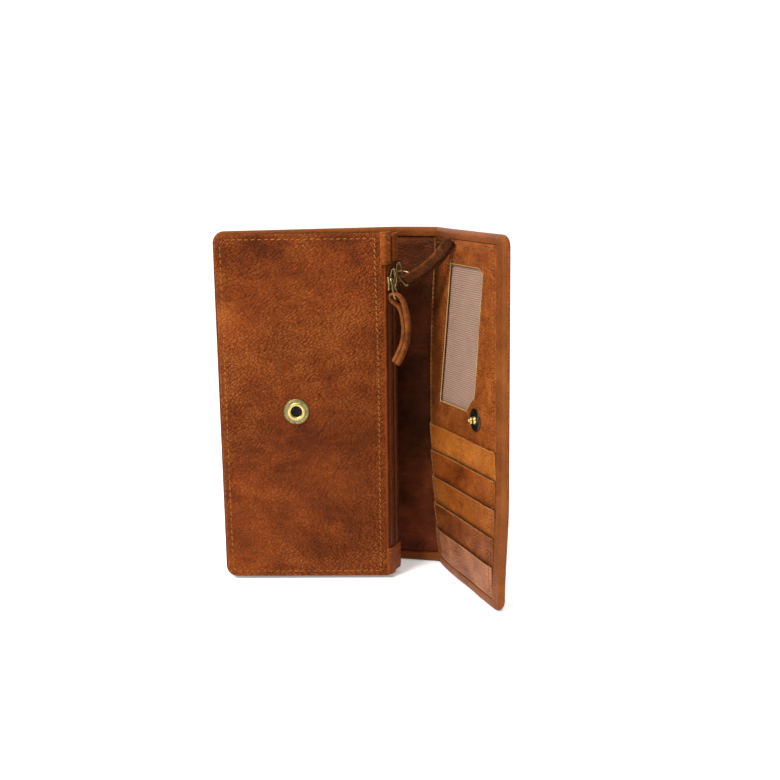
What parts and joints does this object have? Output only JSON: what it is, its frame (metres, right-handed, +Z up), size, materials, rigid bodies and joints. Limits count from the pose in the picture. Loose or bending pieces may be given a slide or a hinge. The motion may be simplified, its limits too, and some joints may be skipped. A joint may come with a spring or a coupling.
{
  "type": "long wallet",
  "caption": "Long cognac leather wallet standing open on its short end: fold-over flap with card pockets and ID window, zip leaf and snap.",
  "frame": {"origin": "middle of the back cover's bottom edge on its outer face, on the plane the wallet stands on", "axes": "+Z up the wallet's long axis, +X along the back cover from its free edge towards the spine, -Y towards the open side"},
  "size_m": [0.1254, 0.1096, 0.19],
  "materials": {
    "cognac_leather": "satin, pebbled grain, washed with darker clouds",
    "dark_leather": "satin, pebbled grain",
    "tan_trim_leather": "satin, smooth",
    "lining_cloth": "matte woven lining",
    "padding_board": "matte",
    "zip_tape": "matte woven tape",
    "zip_coil": "satin",
    "ribbed_lining": "matte, fine ribs",
    "clear_film": "clear, gloss",
    "dark_bronze": "satin, dark antique",
    "antique_brass": "satin, antique, stippled",
    "bright_brass": "polished"
  },
  "bodies": {
    "back": {"back_outer": "cognac_leather", "back_lining": "dark_leather", "back_border_top": "cognac_leather", "back_border_foot": "cognac_leather", "spine_crease_skin": "cognac_leather", "leaf_seam": "dark_leather"},
    "spine": {"spine_outer": "cognac_leather", "spine_lining": "dark_leather", "spine_border_top": "cognac_leather", "spine_border_foot": "cognac_leather", "flap_crease_skin": "cognac_leather"},
    "flap": {"flap_outer": "cognac_leather", "flap_padding": "padding_board", "flap_border_edge": "cognac_leather", "flap_border_top": "cognac_leather", "flap_border_foot": "cognac_leather", "card_backing": "dark_leather", "id_window_lining": "ribbed_lining", "id_window_film": "clear_film", "id_panel": "cognac_leather", "card_pocket_1": "cognac_leather", "card_pocket_2": "cognac_leather", "card_pocket_3": "cognac_leather", "card_pocket_4": "cognac_leather", "card_pocket_5": "cognac_leather", "snap_stud_disc": "dark_bronze", "snap_stud_post": "antique_brass", "snap_cap": "dark_bronze"},
    "leaf": {"front_panel": "cognac_leather", "front_lining": "lining_cloth", "pocket_divider": "dark_leather", "rear_panel": "dark_leather", "top_gusset": "lining_cloth", "foot_gusset": "lining_cloth", "zip_tape_1": "zip_tape", "zip_coil_1": "zip_coil", "zip_welt_1_front": "tan_trim_leather", "zip_welt_1_rear": "tan_trim_leather", "zip_tab_1_top": "tan_trim_leather", "zip_tab_1_foot": "tan_trim_leather", "zip_tape_2": "zip_tape", "zip_coil_2": "zip_coil", "zip_welt_2_front": "tan_trim_leather", "zip_welt_2_rear": "tan_trim_leather", "zip_tab_2_top": "tan_trim_leather", "zip_tab_2_foot": "tan_trim_leather", "snap_socket_ring": "antique_brass", "snap_socket_cup": "antique_brass"},
    "slider_1": {"slider_1_block": "bright_brass", "slider_1_bail": "bright_brass"},
    "slider_2": {"slider_2_block": "bright_brass", "slider_2_bail": "bright_brass"},
    "pull_1": {"pull_ring_1": "bright_brass", "pull_strap_1": "tan_trim_leather"},
    "ring_2": {"pull_ring_2": "bright_brass"},
    "strap_2": {"pull_strap_2": "tan_trim_leather"}
  },
  "joints": [
    {"name": "spine_fold", "type": "hinge", "parent": "back", "child": "spine", "pos_m": [0.04985, -0.003, 0], "axis": [0, 0, -1], "range_deg": [-34.7, 55.3], "deforming": ["spine_crease_skin", "pull_strap_2", "pull_strap_1"]},
    {"name": "flap_fold", "type": "hinge", "parent": "spine", "child": "flap", "pos_m": [0.06823, -0.01573, 0], "axis": [0, 0, -1], "range_deg": [-53.6, 44.5], "deforming": ["flap_crease_skin", "pull_strap_2"]},
    {"name": "leaf_fold", "type": "hinge", "parent": "back", "child": "leaf", "pos_m": [-0.04875, -0.00383, 0], "axis": [0, 0, -1], "range_deg": [-11.4, 7.2]},
    {"name": "slider_1_slide", "type": "slide", "parent": "leaf", "child": "slider_1", "axis": [0, 0, -1], "range_m": [0, 0.136]},
    {"name": "slider_2_slide", "type": "slide", "parent": "leaf", "child": "slider_2", "axis": [0, 0, -1], "range_m": [0, 0.136]},
    {"name": "pull_1_swing", "type": "hinge", "parent": "slider_1", "child": "pull_1", "pos_m": [0.03797, -0.03434, 0.1635], "axis": [0.7593, 0.6508, 0], "range_deg": [-60, 0]},
    {"name": "ring_2_swing", "type": "hinge", "parent": "slider_2", "child": "ring_2", "pos_m": [0.04295, -0.02852, 0.1662], "axis": [0.6743, 0.7385, 0], "range_deg": [-34.5, 54.6]},
    {"name": "strap_2_swing", "type": "hinge", "parent": "ring_2", "child": "strap_2", "pos_m": [0.04724, -0.03243, 0.1635], "axis": [0.6743, 0.7385, 0], "range_deg": [-43.5, 69]}
  ],
  "couplings": [
    {"joint": "leaf_fold", "follows": "spine_fold", "ratio": -0.2025},
    {"joint": "ring_2_swing", "follows": "spine_fold", "ratio": 0.98},
    {"joint": "strap_2_swing", "follows": "spine_fold", "ratio": 1.24}
  ]
}
